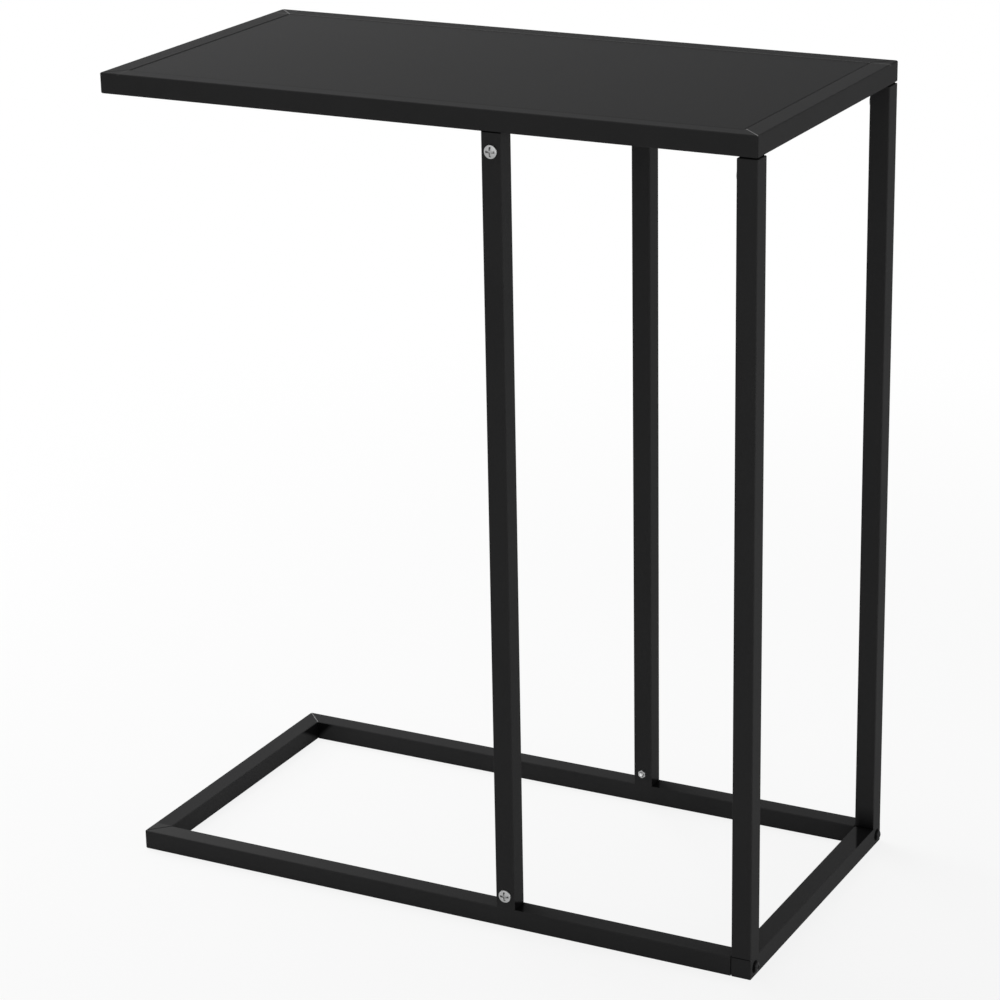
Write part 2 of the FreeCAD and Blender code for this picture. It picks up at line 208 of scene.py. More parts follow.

# Joint lines, painted highlights on edges and mitres, painted light on the base's front rail, and painted
# shade on the rails and beside the panel
LINE_REACH = 0.5 * MM
LINE_BLEND = 0.15 * MM
MITRE_REACH = 0.55 * MM
JOINT_DARK_AND_SHADE = (0.003, 0.003, 0.003)
FRONT_SEAM_REACH = 2.0 * MM
FRONT_SEAM_SHADE = 0.18
FRONT_SEAM_SHADE_GAIN = 0.08
RIGHT_SEAM_REACH = 0.9 * MM
RIGHT_SEAM_SHADE = 0.40
SEAM_BLEND = 0.8 * MM
LEFT_RAIL_SHADE = 0.07
REAR_RAIL_SHADE = 0.14
EDGE_BAND_DEPTH = 1.3 * MM
EDGE_LIGHT_SHARES = (0.35, 1.0)
PAINTED_EDGE_LIGHT = (0.053, 0.053, 0.053)
MITRE_HIGHLIGHT = (0.20, 0.20, 0.20)
FRONT_RAIL_LIGHT_LENGTH = 0.6
FRONT_RAIL_LIGHT_FALLOFF = 3.0
FRONT_RAIL_LIGHT = (0.047, 0.047, 0.047)

# Cross recesses, bolt tips and nut bores: painted shade in the recesses and round the bores, least in the
# lower arm, and painted highlights on the tips
RECESS_MIDDLE = 1.9 * MM
RECESS_CLEAR_EDGE = 0.12 * MM
RECESS_SHADE = (0.16, 0.16, 0.16)
RECESS_MIDDLE_SHADE = 0.15
LOWER_ARM_LIGHT = 0.9
TIP_HIGHLIGHT = (0.85, 0.85, 0.85)
TIP_RADIUS = 1.0 * MM
BORE_SHADE = (0.17, 0.17, 0.17)
BORE_SHADE_REACH = 0.3 * MM

# Button heads: painted shade at the rim and a painted highlight round the key socket
BUTTON_RIM_WIDTH = 1.3 * MM
BUTTON_BLEND = 0.5 * MM
BUTTON_RIM_SHADE = (0.002, 0.002, 0.002)
BUTTON_HIGHLIGHT_REACH = 0.4 * MM
BUTTON_SOCKET_HIGHLIGHT = (0.07, 0.07, 0.07)

# Studio: the light of its white surround, its floor, and its soft boxes
WHITE = (1.0, 1.0, 1.0, 1.0)
SURROUND_LIGHT = 0.333
FLOOR_HALF_SIZE = 15.0
FLOOR_SQUARES = 8
FLOOR_DROP = 0.2 * MM
FLOOR_CLOUD = 400.0 * MM
FLOOR_TONES = ((0.60, 0.60, 0.60), (0.62, 0.62, 0.62))
FLOOR_WHITE = 0.86
FLOOR_FADE_START = 0.5
FLOOR_FADE_END = 1.4
LAMP_TARGET = Vector((0.0, 0.0, 0.3))
SOFT_BOXES = {
    "overhead": {"place": (-0.7, 0.3, 2.0), "size": (1.2, 1.2), "power": 20.4},
    "high_left": {"place": (-1.3, 0.7, 1.7), "size": (1.2, 1.2), "power": 12.0},
    "low_left": {"place": (-1.8, 0.2, 0.75), "size": (1.2, 0.8), "power": 19.0},
    "low_right": {"place": (1.9, 0.3, 0.35), "size": (1.4, 0.6), "power": 17.0},
    "front": {"place": (0.2, -2.8, 0.9), "size": (2.4, 1.6), "power": 11.0},
}

# Sockets of a Mix node that mixes colours
MIX_FACTOR = 0
MIX_FIRST = 6
MIX_SECOND = 7
MIX_RESULT = 2

# Directions, and the sign of Y on each side of the table
X = Vector((1.0, 0.0, 0.0))
Y = Vector((0.0, 1.0, 0.0))
Z = Vector((0.0, 0.0, 1.0))
SIDES = {"front": -1.0, "rear": 1.0}


class Value:
    """What one node gives out. An expression on values adds the Math nodes that work it out."""

    def __init__(self, tree, socket):
        self.tree = tree
        self.socket = socket

    def math(self, operation, *terms):
        return self.tree.node("ShaderNodeMath", {"operation": operation}, dict(enumerate(terms)))

    def __add__(self, other):
        return self.math("ADD", self, other)

    def __radd__(self, other):
        return self.math("ADD", other, self)

    def __sub__(self, other):
        return self.math("SUBTRACT", self, other)

    def __rsub__(self, other):
        return self.math("SUBTRACT", other, self)

    def __mul__(self, other):
        return self.math("MULTIPLY", self, other)

    def __rmul__(self, other):
        return self.math("MULTIPLY", other, self)

    def __truediv__(self, other):
        return self.math("DIVIDE", self, other)

    def __rtruediv__(self, other):
        return self.math("DIVIDE", other, self)

    def __pow__(self, other):
        return self.math("POWER", self, other)

    def __gt__(self, other):
        return self.math("GREATER_THAN", self, other)

    def __abs__(self):
        return self.math("ABSOLUTE", self)

    def at_least(self, other):
        return self.math("MAXIMUM", self, other)

    def at_most(self, other):
        return self.math("MINIMUM", self, other)

    def mask(self):
        """The value kept between 0 and 1."""
        return self.at_least(0.0).at_most(1.0)

    def above(self, level, blend):
        """1 well above a level and 0 well below it, with a blend between."""
        return ((self - level) / blend + 0.5).mask()

    def below(self, level, blend):
        """1 well below a level and 0 well above it, with a blend between."""
        return 1.0 - self.above(level, blend)

    def near(self, level, reach, blend):
        """1 within reach of a level and 0 outside."""
        return abs(self - level).below(reach, blend)


class Tree:
    """A node tree that is being written."""

    def __init__(self, tree):
        self.tree = tree

    def node(self, kind, settings=None, inputs=None, output=0):
        """Add a node: its settings first, then the values or links of its sockets."""
        made = self.tree.nodes.new(kind)
        for name, setting in (settings or {}).items():
            setattr(made, name, setting)
        for key, value in (inputs or {}).items():
            if isinstance(value, Value):
                self.tree.links.new(value.socket, made.inputs[key])
            else:
                made.inputs[key].default_value = value
        return Value(self, made.outputs[output]) if made.outputs else None

    def xyz(self, vector):
        """The three numbers of a vector."""
        split = self.tree.nodes.new("ShaderNodeSeparateXYZ")
        self.tree.links.new(vector.socket, split.inputs[0])
        return [Value(self, socket) for socket in split.outputs]


class ShapeTree(Tree):
    """A Geometry Nodes tree with named inputs for its sizes."""

    def __init__(self, name, sockets):
        super().__init__(bpy.data.node_groups.new(name, "GeometryNodeTree"))
        face = self.tree.interface
        for title, kind in sockets.items():
            face.new_socket(title, in_out="INPUT", socket_type="NodeSocket" + kind)
        face.new_socket("Geometry", in_out="OUTPUT", socket_type="NodeSocketGeometry")
        self.entry = self.tree.nodes.new("NodeGroupInput")

    def size(self, title):
        """One of the tree's named inputs."""
        return Value(self, self.entry.outputs[title])

    def place(self):
        """Where each point of the shape is, along X, Y and Z."""
        return self.xyz(self.node("GeometryNodeInputPosition"))

    def merged(self, shape):
        """The shape with points that lie together made one."""
        return self.node(
            "GeometryNodeMergeByDistance", inputs={"Geometry": shape, "Distance": MERGE_DISTANCE}
        )

    def finish(self, shape, material):
        """Close the tree: real geometry in one material."""
        shape = self.node("GeometryNodeRealizeInstances", inputs={"Geometry": shape})
        shape = self.node("GeometryNodeSetMaterial", inputs={"Geometry": shape, "Material": material})
        self.node("NodeGroupOutput", inputs={"Geometry": shape})

    def apply(self, piece, values):
        """Run the tree on a piece, with a value for each of its named inputs."""
        modifier = piece.modifiers.new(self.tree.name, "NODES")
        modifier.node_group = self.tree
        for item in self.tree.interface.items_tree:
            if item.in_out == "INPUT" and item.name in values:
                modifier[item.identifier] = values[item.name]


class Finish(Tree):
    """A procedural material on Object coordinates."""

    def __init__(self, name):
        self.material = bpy.data.materials.new(name)
        self.material.use_nodes = True
        super().__init__(self.material.node_tree)
        self.tree.nodes.clear()
        self.place = self.node("ShaderNodeTexCoord", output="Object")

    def noise(self, feature, detail=2.0, stretch=None):
        """Noise from 0 to 1 whose features are about one length across."""
        place = self.place
        if stretch:
            place = self.node("ShaderNodeMapping", inputs={"Vector": place, "Scale": stretch})
        return self.node(
            "ShaderNodeTexNoise", inputs={"Vector": place, "Scale": 1.0 / feature, "Detail": detail}
        )

    def between(self, mask, first, second):
        """A colour that goes from one to another with a mask. Each is three numbers or a mixed colour."""
        ends = [end if isinstance(end, Value) else (*end, 1.0) for end in (first, second)]
        inputs = {MIX_FACTOR: mask, MIX_FIRST: ends[0], MIX_SECOND: ends[1]}
        return self.node("ShaderNodeMix", {"data_type": "RGBA"}, inputs, output=MIX_RESULT)

    def axes(self):
        """The place along X, Y and Z."""
        return self.xyz(self.place)

    def roughness(self, levels, fine, cloud):
        """Roughness from a level and two shares, of a fine pattern that raises it and of clouds."""
        level, fine_share, cloud_share = levels
        return level + fine_share * fine + cloud_share * (cloud - 0.5)

    def surface(self, relief, bump, **sockets):
        """Close the material: a Principled surface with a bump, which is a height and a strength."""
        height, strength = bump
        normal = self.node(
            "ShaderNodeBump", inputs={"Strength": strength, "Distance": height, "Height": relief}
        )
        inputs = {name.replace("_", " "): value for name, value in sockets.items()}
        shader = self.node("ShaderNodeBsdfPrincipled", inputs={**inputs, "Normal": normal})
        self.node("ShaderNodeOutputMaterial", inputs={"Surface": shader})
        return self.material


def painted_post_shadow(x, y, z):
    """Painted shadow at the right foot of each upright, on its right face and on the rail, widest at the
    front.
    """
    aside = x - UPRIGHT_RIGHT
    rise = z - TUBE_SIZE
    spots = []
    for back in (-INNER_Y, HALF_DEPTH):
        forward = back - y
        reach = forward * POST_SHADOW_SLANT
        across = aside.above(-LINE_REACH, LINE_BLEND) * aside.below(reach, SHADOW_BLEND)
        upward = rise.above(-LINE_REACH, LINE_BLEND) * rise.below(reach, SHADOW_BLEND)
        depth = forward.above(0.0, SHADOW_BLEND) * forward.below(TUBE_SIZE - LINE_REACH, LINE_BLEND)
        spots.append(across * upward * depth)
    return spots[0].at_least(spots[1])


def painted_leg_shadow(x, y, z):
    """Painted shadow up the front of the rear leg's foot, and on the crossbar before it."""
    forward = INNER_Y - y
    rise = z - TUBE_SIZE
    past = x - INNER_X
    foot = forward.near(0.0, LINE_REACH, LINE_BLEND) * rise.above(0.0, LINE_BLEND)
    foot = foot * past.above(LEG_SHADOW_INSET, SHADOW_FADE) * (1.0 - rise / LEG_SHADOW_RISE).mask()
    bar = rise.near(0.0, LINE_REACH, LINE_BLEND) * forward.above(0.0, LINE_BLEND)
    bar = bar * past.above(LEG_SHADOW_INSET + forward * LEG_SHADOW_SLANT, SHADOW_BLEND)
    return foot.at_least(bar)


def painted_corner_shadow(x, y, z):
    """Painted shadow in the base's far left inside corner, deepest under the upper edge."""
    from_rear = INNER_Y - y
    from_left = x + INNER_X
    under_edge = z - CORNER_SHADOW_CLEAR
    on_base = z.below(TUBE_SIZE - LINE_REACH, LINE_REACH)
    on_left = from_left.near(0.0, LINE_REACH, LINE_BLEND) * from_rear.above(0.0, LINE_BLEND)
    on_left = on_left * from_rear.below(under_edge * CORNER_SHADOW_SLANTS[0], SHADOW_FADE)
    on_rear = from_rear.near(0.0, LINE_REACH, LINE_BLEND) * from_left.above(0.0, LINE_BLEND)
    on_rear = on_rear * from_left.below(under_edge * CORNER_SHADOW_SLANTS[1], SHADOW_FADE)
    return on_left.at_least(on_rear) * on_base


def upper_faces(z):
    """1 on the upper faces of the base and of the top frame."""
    base = z.near(TUBE_SIZE, LINE_REACH, LINE_BLEND)
    return base.at_least(z.above(TABLE_HEIGHT - LINE_REACH, LINE_BLEND))


def mitre_lines(x, z, slant):
    """Lines along the mitres of the two corners on one diagonal."""
    corner = abs(x).above(INNER_X, LINE_BLEND)
    return slant.near(HALF_LENGTH - HALF_DEPTH, MITRE_REACH, LINE_BLEND) * corner * upper_faces(z)


def joint_lines(x, y, z):
    """Dark lines where posts meet tubes, and along the mitres of the near left and far right corners."""
    outer_faces = abs(y).above(HALF_DEPTH - LINE_REACH, LINE_BLEND)
    faces = outer_faces.at_least(y.near(INNER_Y, LINE_REACH, LINE_BLEND))
    at_leg = x.above(INNER_X, LINE_BLEND)
    foot = z.near(TUBE_SIZE, LINE_REACH, LINE_BLEND) * at_leg
    at_upright = x.near(UPRIGHT_X, TUBE_SIZE / 2, LINE_BLEND)
    head = z.near(TOP_UNDERSIDE, LINE_REACH, LINE_BLEND) * at_upright
    leg_gap = z.near(TOP_UNDERSIDE - LINE_REACH, LINE_REACH, LINE_BLEND) * at_leg
    leg_gap = leg_gap * abs(y).above(INNER_Y, LINE_BLEND)
    lines = (faces * foot.at_least(head)).at_least(leg_gap)
    return lines.at_least(mitre_lines(x, z, abs(x - y)))


def painted_rail_shade(x, y, z):
    """A little painted shade on top of the left and rear rails, and beside the panel on the front one."""
    amount = FRONT_SEAM_SHADE + FRONT_SEAM_SHADE_GAIN * x / INNER_X
    front = y.near(-INNER_Y - FRONT_SEAM_REACH, FRONT_SEAM_REACH, SEAM_BLEND) * amount
    left = x.below(-INNER_X, SEAM_BLEND) * LEFT_RAIL_SHADE
    rear = y.above(INNER_Y + EDGE_BAND_DEPTH, SEAM_BLEND) * REAR_RAIL_SHADE
    sides = (front * abs(x).below(INNER_X, LINE_BLEND)).at_least(left)
    return sides.at_least(rear) * z.above(TABLE_HEIGHT - EDGE_BAND_DEPTH, LINE_BLEND)


def painted_edge_highlights(x, y, z):
    """Painted highlights along the left and rear rails' inner top edges."""
    left = x.near(-INNER_X, EDGE_BAND_DEPTH, LINE_BLEND) * EDGE_LIGHT_SHARES[0]
    rear = y.near(INNER_Y, EDGE_BAND_DEPTH, LINE_BLEND) * EDGE_LIGHT_SHARES[1]
    return left.at_least(rear) * z.above(TABLE_HEIGHT - EDGE_BAND_DEPTH, LINE_BLEND)


def painted_front_rail_light(x, y, z):
    """Painted light on top of the base's front rail, brightest towards its left end."""
    on_top = z.near(TUBE_SIZE, LINE_REACH, LINE_BLEND) * y.below(-INNER_Y, LINE_BLEND)
    return on_top * (1.0 - (x + HALF_LENGTH) / FRONT_RAIL_LIGHT_LENGTH).mask() ** FRONT_RAIL_LIGHT_FALLOFF


def powder_coat():
    """Black powder coat: orange peel, uneven in tone and sheen, with dark joint lines, painted shadows
    and shade, painted highlights and painted light.
    """
    coat = Finish("black_powder_coat")
    peel = coat.noise(COAT_PEEL)
    grain = coat.noise(COAT_GRAIN, detail=1.0)
    cloud = coat.noise(COAT_CLOUD, detail=3.0)
    colour = coat.between(cloud, *COAT_TONES)
    x, y, z = coat.axes()
    # Painted light: the base's front rail is lighter towards its left end
    colour = coat.between(painted_front_rail_light(x, y, z), colour, FRONT_RAIL_LIGHT)
    # Painted highlights on the left and rear rails' inner top edges
    colour = coat.between(painted_edge_highlights(x, y, z), colour, PAINTED_EDGE_LIGHT)
    # Painted highlights along the mitres of the near right and far left corners
    colour = coat.between(mitre_lines(x, z, abs(x + y)), colour, MITRE_HIGHLIGHT)
    # Painted shadows, near black: at the uprights' right feet, before the rear leg's foot, and in the
    # base's far left corner
    painted_shadows = painted_post_shadow(x, y, z).at_least(painted_leg_shadow(x, y, z)).at_least(painted_corner_shadow(x, y, z))
    colour = coat.between(painted_shadows * SHADOW_AMOUNT, colour, PAINTED_SHADOW)
    # Painted shade on the rails' tops and beside the panel, together with the dark joint lines
    colour = coat.between(painted_rail_shade(x, y, z).at_least(joint_lines(x, y, z)), colour, JOINT_DARK_AND_SHADE)
    return coat.surface(
        peel + COAT_GRAIN_HEIGHT * grain,
        COAT_BUMP,
        Base_Color=colour,
        Roughness=coat.roughness(COAT_ROUGHNESS, grain, cloud),
        Specular_IOR_Level=MATT_SPECULAR,
    )


def panel_laminate():
    """Satin black laminate: a very fine pebble, smears, painted shade towards the legs and along the
    right edge.
    """
    sheet = Finish("black_laminate")
    pebble = sheet.noise(LAMINATE_PEBBLE, detail=1.0)
    fibre = sheet.noise(LAMINATE_FIBRE, detail=3.0, stretch=LAMINATE_FIBRE_STRETCH)
    smear = sheet.noise(LAMINATE_SMEAR, detail=4.0)
    x, _, _ = sheet.axes()
    # Painted shade: the panel grows darker towards the legs
    shade_towards_legs = (x / INNER_X * 0.5 + 0.5).mask() ** LAMINATE_SHADE_FALLOFF
    colour = sheet.between(smear, *LAMINATE_TONES)
    colour = sheet.between(shade_towards_legs, colour, LAMINATE_LEG_SHADE)
    # Painted shade along the panel's right edge, in the seam
    right_edge = x.near(INNER_X - RIGHT_SEAM_REACH, RIGHT_SEAM_REACH, SEAM_BLEND)
    colour = sheet.between(right_edge * RIGHT_SEAM_SHADE, colour, JOINT_DARK_AND_SHADE)
    return sheet.surface(
        pebble + LAMINATE_FIBRE_HEIGHT * fibre,
        LAMINATE_BUMP,
        Base_Color=colour,
        Roughness=sheet.roughness(LAMINATE_ROUGHNESS, pebble, smear),
        Specular_IOR_Level=MATT_SPECULAR,
    )


def painted_recess_shade(out, from_axis, upward):
    """Painted shade in the arms of the cross recesses, below the heads' domes, least in the lower arm,
    which is painted as lit.
    """
    crown = BOLT_HEAD_HEIGHT - BOLT_HEAD_RIM
    dome = HALF_DEPTH + BOLT_HEAD_HEIGHT - crown * (from_axis / (BOLT_HEAD_DIAMETER / 2)) ** 2.0
    sunk = out.above(HALF_DEPTH, LINE_BLEND) * (dome - out).above(RECESS_CLEAR_EDGE, LINE_BLEND)
    arm_ends = from_axis.above(RECESS_MIDDLE, LINE_REACH).at_least(RECESS_MIDDLE_SHADE)
    arms = sunk * arm_ends * from_axis.below(RECESS_SPAN / 2 + LINE_BLEND, LINE_BLEND)
    return arms * (1.0 - LOWER_ARM_LIGHT * upward.below(-RECESS_WIDTH / 2, LINE_REACH))


def painted_bore_shade(out, from_axis):
    """A ring of painted shade round each bolt where it leaves its nut."""
    ring = from_axis.near(BOLT_DIAMETER / 2 + BORE_SHADE_REACH, BORE_SHADE_REACH, LINE_BLEND)
    return ring * out.below(INNER_Y, LINE_BLEND)


def painted_tip_highlight(out, from_axis):
    """Painted highlights on the end faces of the bolts, behind their nuts."""
    behind = out.below(INNER_Y - NUT_HEIGHT - LINE_REACH, LINE_BLEND)
    return behind * from_axis.below(TIP_RADIUS, LINE_BLEND)


def zinc_plate():
    """Bright zinc on steel: clouded, with faint scuffs, painted shade in the recesses and round the
    bores, and painted highlights on the bolt tips.
    """
    plate = Finish("zinc_plate")
    cloud = plate.noise(ZINC_CLOUD, detail=3.0)
    scuff = plate.noise(ZINC_SCUFF, stretch=ZINC_SCUFF_STRETCH)
    x, y, z = plate.axes()
    out = abs(y)
    aside = x - UPRIGHT_X
    lower, upper = BOLT_HEIGHTS
    middle = (lower + upper) / 2
    rise = abs(z - middle) - (upper - middle)
    upward = rise * (2.0 * (z > middle) - 1.0)
    from_axis = (aside * aside + rise * rise) ** 0.5
    colour = plate.between(cloud, *ZINC_TONES)
    # Painted shade in the cross recesses, lighter in the lower arm
    colour = plate.between(painted_recess_shade(out, from_axis, upward), colour, RECESS_SHADE)
    # Painted shade round the bolts where they leave the nuts
    colour = plate.between(painted_bore_shade(out, from_axis), colour, BORE_SHADE)
    # Painted highlights on the bolt tips
    colour = plate.between(painted_tip_highlight(out, from_axis), colour, TIP_HIGHLIGHT)
    return plate.surface(
        scuff,
        ZINC_BUMP,
        Base_Color=colour,
        Metallic=1.0,
        Roughness=plate.roughness(ZINC_ROUGHNESS, scuff, cloud),
    )


def black_oxide():
    """Oiled black oxide on steel, with painted shade at the rims and a painted highlight round the key
    sockets.
    """
    skin = Finish("black_oxide")
    cloud = skin.noise(OXIDE_CLOUD, detail=3.0)
    grit = skin.noise(OXIDE_GRIT, detail=1.0)
    _, y, z = skin.axes()
    across = abs(y) - (HALF_DEPTH - TUBE_SIZE / 2)
    rise = z - TUBE_SIZE / 2
    from_axis = (across * across + rise * rise) ** 0.5
    rim = from_axis.above(BASE_HEAD_DIAMETER / 2 - BUTTON_RIM_WIDTH, BUTTON_BLEND)
    socket_highlight = from_axis.near(KEY_ACROSS_FLATS / 2, BUTTON_HIGHLIGHT_REACH, BUTTON_BLEND)
    colour = skin.between(cloud, *OXIDE_TONES)
    # Painted highlight round the key sockets
    colour = skin.between(socket_highlight, colour, BUTTON_SOCKET_HIGHLIGHT)
    # Painted shade at the heads' rims
    colour = skin.between(rim, colour, BUTTON_RIM_SHADE)
    return skin.surface(
        grit,
        OXIDE_BUMP,
        Base_Color=colour,
        Roughness=skin.roughness(OXIDE_ROUGHNESS, grit, cloud),
        Specular_IOR_Level=OXIDE_SPECULAR,
    )


def cap_plastic():
    """Moulded black plastic with a fine spark-eroded grain."""
    plastic = Finish("black_cap_plastic")
    grain = plastic.noise(CAP_GRAIN)
    cloud = plastic.noise(CAP_CLOUD)
    return plastic.surface(
        grain,
        CAP_BUMP,
        Base_Color=plastic.between(cloud, *COAT_TONES),
        Roughness=CAP_ROUGHNESS + CAP_GRAIN_ROUGHNESS * grain,
        Specular_IOR_Level=MATT_SPECULAR,
    )


FINISHES = {
    "frame_powder_coat": powder_coat(),
    "panel_laminate": panel_laminate(),
    "zinc_steel": zinc_plate(),
    "black_oxide_steel": black_oxide(),
    "cap_plastic": cap_plastic(),
}


def new_piece(name, mesh=None):
    """An object of the scene, with an empty mesh unless one is given."""
    piece = bpy.data.objects.new(name, mesh or bpy.data.meshes.new(name))
    bpy.context.scene.collection.objects.link(piece)
    return piece


def settle(piece):
    """Turn what the modifiers make of a piece into its plain mesh."""
    graph = bpy.context.evaluated_depsgraph_get()
    mesh = bpy.data.meshes.new_from_object(piece.evaluated_get(graph))
    piece.modifiers.clear()
    piece.data = mesh
    mesh.name = piece.name


def weigh_normals(piece):
    """Keep flat faces flat beside the small roundings."""
    modifier = piece.modifiers.new("flat_faces", "WEIGHTED_NORMAL")
    modifier.mode = "FACE_AREA"
    modifier.weight = FLAT_FACE_WEIGHT
    modifier.keep_sharp = True


def stands_for(piece, node):
    """A finished piece takes the place of its CAD node."""
    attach(piece, "root")
    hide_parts(node)


def frame_tube_tree():
    """A length of square tube along Z, with rounded corners and mitred, rounded or scribed ends."""
    sockets = {
        "Length": "Float",
        "Tube Size": "Float",
        "Wall": "Float",
        "Corner Radius": "Float",
        "Corner Steps": "Int",
        "End Steps": "Int",
        "Start Rounding": "Float",
        "End Rounding": "Float",
        "Inner Rounding": "Float",
        "Start Mitre": "Float",
        "End Mitre": "Float",
        "Scribe Depth": "Float",
        "Finish": "Material",
    }
    tree = ShapeTree("frame_tube", sockets)
    length = tree.size("Length")
    half = tree.size("Tube Size") / 2.0
    wall = tree.size("Wall")
    radius = tree.size("Corner Radius")

    # Line round the middle of the wall
    middle = tree.size("Tube Size") - wall
    square = {"Width": middle, "Height": middle}
    path = tree.node("GeometryNodeCurvePrimitiveQuadrilateral", inputs=square)
    path = tree.node(
        "GeometryNodeFilletCurve",
        {"mode": "POLY"},
        {"Curve": path, "Count": tree.size("Corner Steps"), "Radius": radius - wall / 2.0},
    )

    # Section of the wall, whose outer corners have their own rounding at each end
    strip = {"Width": wall, "Height": length}
    section = tree.node("GeometryNodeCurvePrimitiveQuadrilateral", inputs=strip)
    outward, towards_start, _ = tree.place()
    outer = outward > 0.0
    at_start = towards_start > 0.0
    rounding = at_start * tree.size("Start Rounding") + (1.0 - at_start) * tree.size("End Rounding")
    rounding = outer * rounding + (1.0 - outer) * tree.size("Inner Rounding")
    section = tree.node(
        "GeometryNodeFilletCurve",
        {"mode": "POLY"},
        {"Curve": section, "Count": tree.size("End Steps"), "Radius": rounding},
    )
    tube = tree.node("GeometryNodeCurveToMesh", inputs={"Curve": path, "Profile Curve": section})

    # Mitres slant an end from the outer face at -X, and a scribed foot follows its carrier's edges
    across, _, height = tree.place()
    from_outside = across + half
    past_flat = (abs(across) - (half - radius)).at_least(0.0).at_most(radius)
    drop = radius - (radius ** 2.0 - past_flat ** 2.0).at_least(0.0) ** 0.5
    drop = drop.at_most(tree.size("Scribe Depth"))
    upper = height > 0.0
    shift = (1.0 - upper) * (tree.size("Start Mitre") * from_outside - drop)
    shift = shift - upper * tree.size("End Mitre") * from_outside
    offset = tree.node("ShaderNodeCombineXYZ", inputs={"Z": shift + length / 2.0})
    tube = tree.node("GeometryNodeSetPosition", inputs={"Geometry": tube, "Offset": offset})
    tree.finish(tree.merged(tube), tree.size("Finish"))
    return tree


def frame_tube(tree, node, axis, inward, roundings, mitres=(0.0, 0.0), scribe=0.0, gap=0.0):
    """One member of the frame, in the place of its CAD node."""
    low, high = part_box(node)
    reach = (high - low).dot(axis)
    length = reach - scribe - gap
    start = (low + high) / 2.0 - axis * reach / 2.0 + axis * scribe
    piece = new_piece(node + "_tube")
    tree.apply(piece, {
        "Length": length,
        "Tube Size": TUBE_SIZE,
        "Wall": TUBE_WALL,
        "Corner Radius": TUBE_CORNER_RADIUS,
        "Corner Steps": TUBE_CORNER_STEPS,
        "End Steps": TUBE_END_STEPS,
        "Start Rounding": roundings[0],
        "End Rounding": roundings[1],
        "Inner Rounding": SHARP_END_ROUNDING,
        "Start Mitre": mitres[0],
        "End Mitre": mitres[1],
        "Scribe Depth": scribe,
        "Finish": FINISHES["frame_powder_coat"],
    })
    weigh_normals(piece)
    settle(piece)
    turn = Matrix((inward, axis.cross(inward), axis)).transposed().to_4x4()
    piece.data.transform(Matrix.Translation(start) @ turn)
    stands_for(piece, node)


def frame_tubes():
    """Every tube of the frame."""
    tree = frame_tube_tree()
    both_mitred = {"roundings": (MITRE_ROUNDING, MITRE_ROUNDING), "mitres": (1.0, 1.0)}
    left_mitred = {
        "roundings": (MITRE_ROUNDING, BUTT_END_ROUNDING), "mitres": (1.0, 0.0), "gap": BUTT_GAP
    }
    leg = {"roundings": (SHARP_END_ROUNDING, LEG_END_ROUNDING), "scribe": SCRIBE_DEPTH}
    upright = {"roundings": (SHARP_END_ROUNDING, SHARP_END_ROUNDING), "scribe": SCRIBE_DEPTH}
    for side, sign in SIDES.items():
        frame_tube(tree, f"top_{side}_rail", X, Y * -sign, **both_mitred)
        frame_tube(tree, f"base_{side}_rail", X, Y * -sign, **left_mitred)
        frame_tube(tree, f"{side}_leg", Z, X, **leg)
        frame_tube(tree, f"{side}_upright", Z, Y, **upright)
    frame_tube(tree, "top_left_rail", Y, X, **both_mitred)
    frame_tube(tree, "top_right_rail", Y, -X, **both_mitred)
    frame_tube(tree, "base_left_rail", Y, X, **both_mitred)
    frame_tube(tree, "base_crossbar", Y, X, roundings=(CAPPED_END_ROUNDING, CAPPED_END_ROUNDING))


def turned(name, profile):
    """A closed shape turned about Z from (radius, height) points, which start and end on the axis."""
    shape = bmesh.new()
    rings = []
    for radius, height in profile:
        count = TURNED_STEPS if radius > 0.0 else 1
        angles = [math.tau * step / count for step in range(count)]
        rings.append([
            shape.verts.new((radius * math.cos(angle), radius * math.sin(angle), height))
            for angle in angles
        ])
    for lower, upper in zip(rings, rings[1:]):
        for step in range(TURNED_STEPS):
            corners = [
                lower[step % len(lower)],
                lower[(step + 1) % len(lower)],
                upper[(step + 1) % len(upper)],
                upper[step % len(upper)],
            ]
            shape.faces.new(list(dict.fromkeys(corners)))
    return from_bmesh(name, shape)


def from_bmesh(name, shape):
    """An object made of a bmesh, with its faces pointing outwards."""
    bmesh.ops.recalc_face_normals(shape, faces=shape.faces)
    piece = new_piece(name)
    shape.to_mesh(piece.data)
    shape.free()
    return piece


def frustum(name, lower, upper, low, high):
    """A solid between two outlines of the same number of points, at two heights."""
    shape = bmesh.new()
    bottom = [shape.verts.new((x, y, low)) for x, y in lower]
    top = [shape.verts.new((x, y, high)) for x, y in upper]
    shape.faces.new(bottom[::-1])
    shape.faces.new(top)
    count = len(bottom)
    for k in range(count):
        following = (k + 1) % count
        shape.faces.new((bottom[k], bottom[following], top[following], top[k]))
    return from_bmesh(name, shape)


def hexagon(across_flats):
    """Outline of a hexagon about the origin."""
    corner = across_flats / math.sqrt(3.0)
    angles = [math.tau * k / 6 for k in range(6)]
    return [(corner * math.cos(angle), corner * math.sin(angle)) for angle in angles]


def combine(piece, tool, operation):
    """Cut a piece with a tool, or keep only what lies in the tool. The tool is used up."""
    modifier = piece.modifiers.new(operation.lower(), "BOOLEAN")
    modifier.operation = operation
    modifier.solver = "EXACT"
    modifier.object = tool
    settle(piece)
    bpy.data.objects.remove(tool)


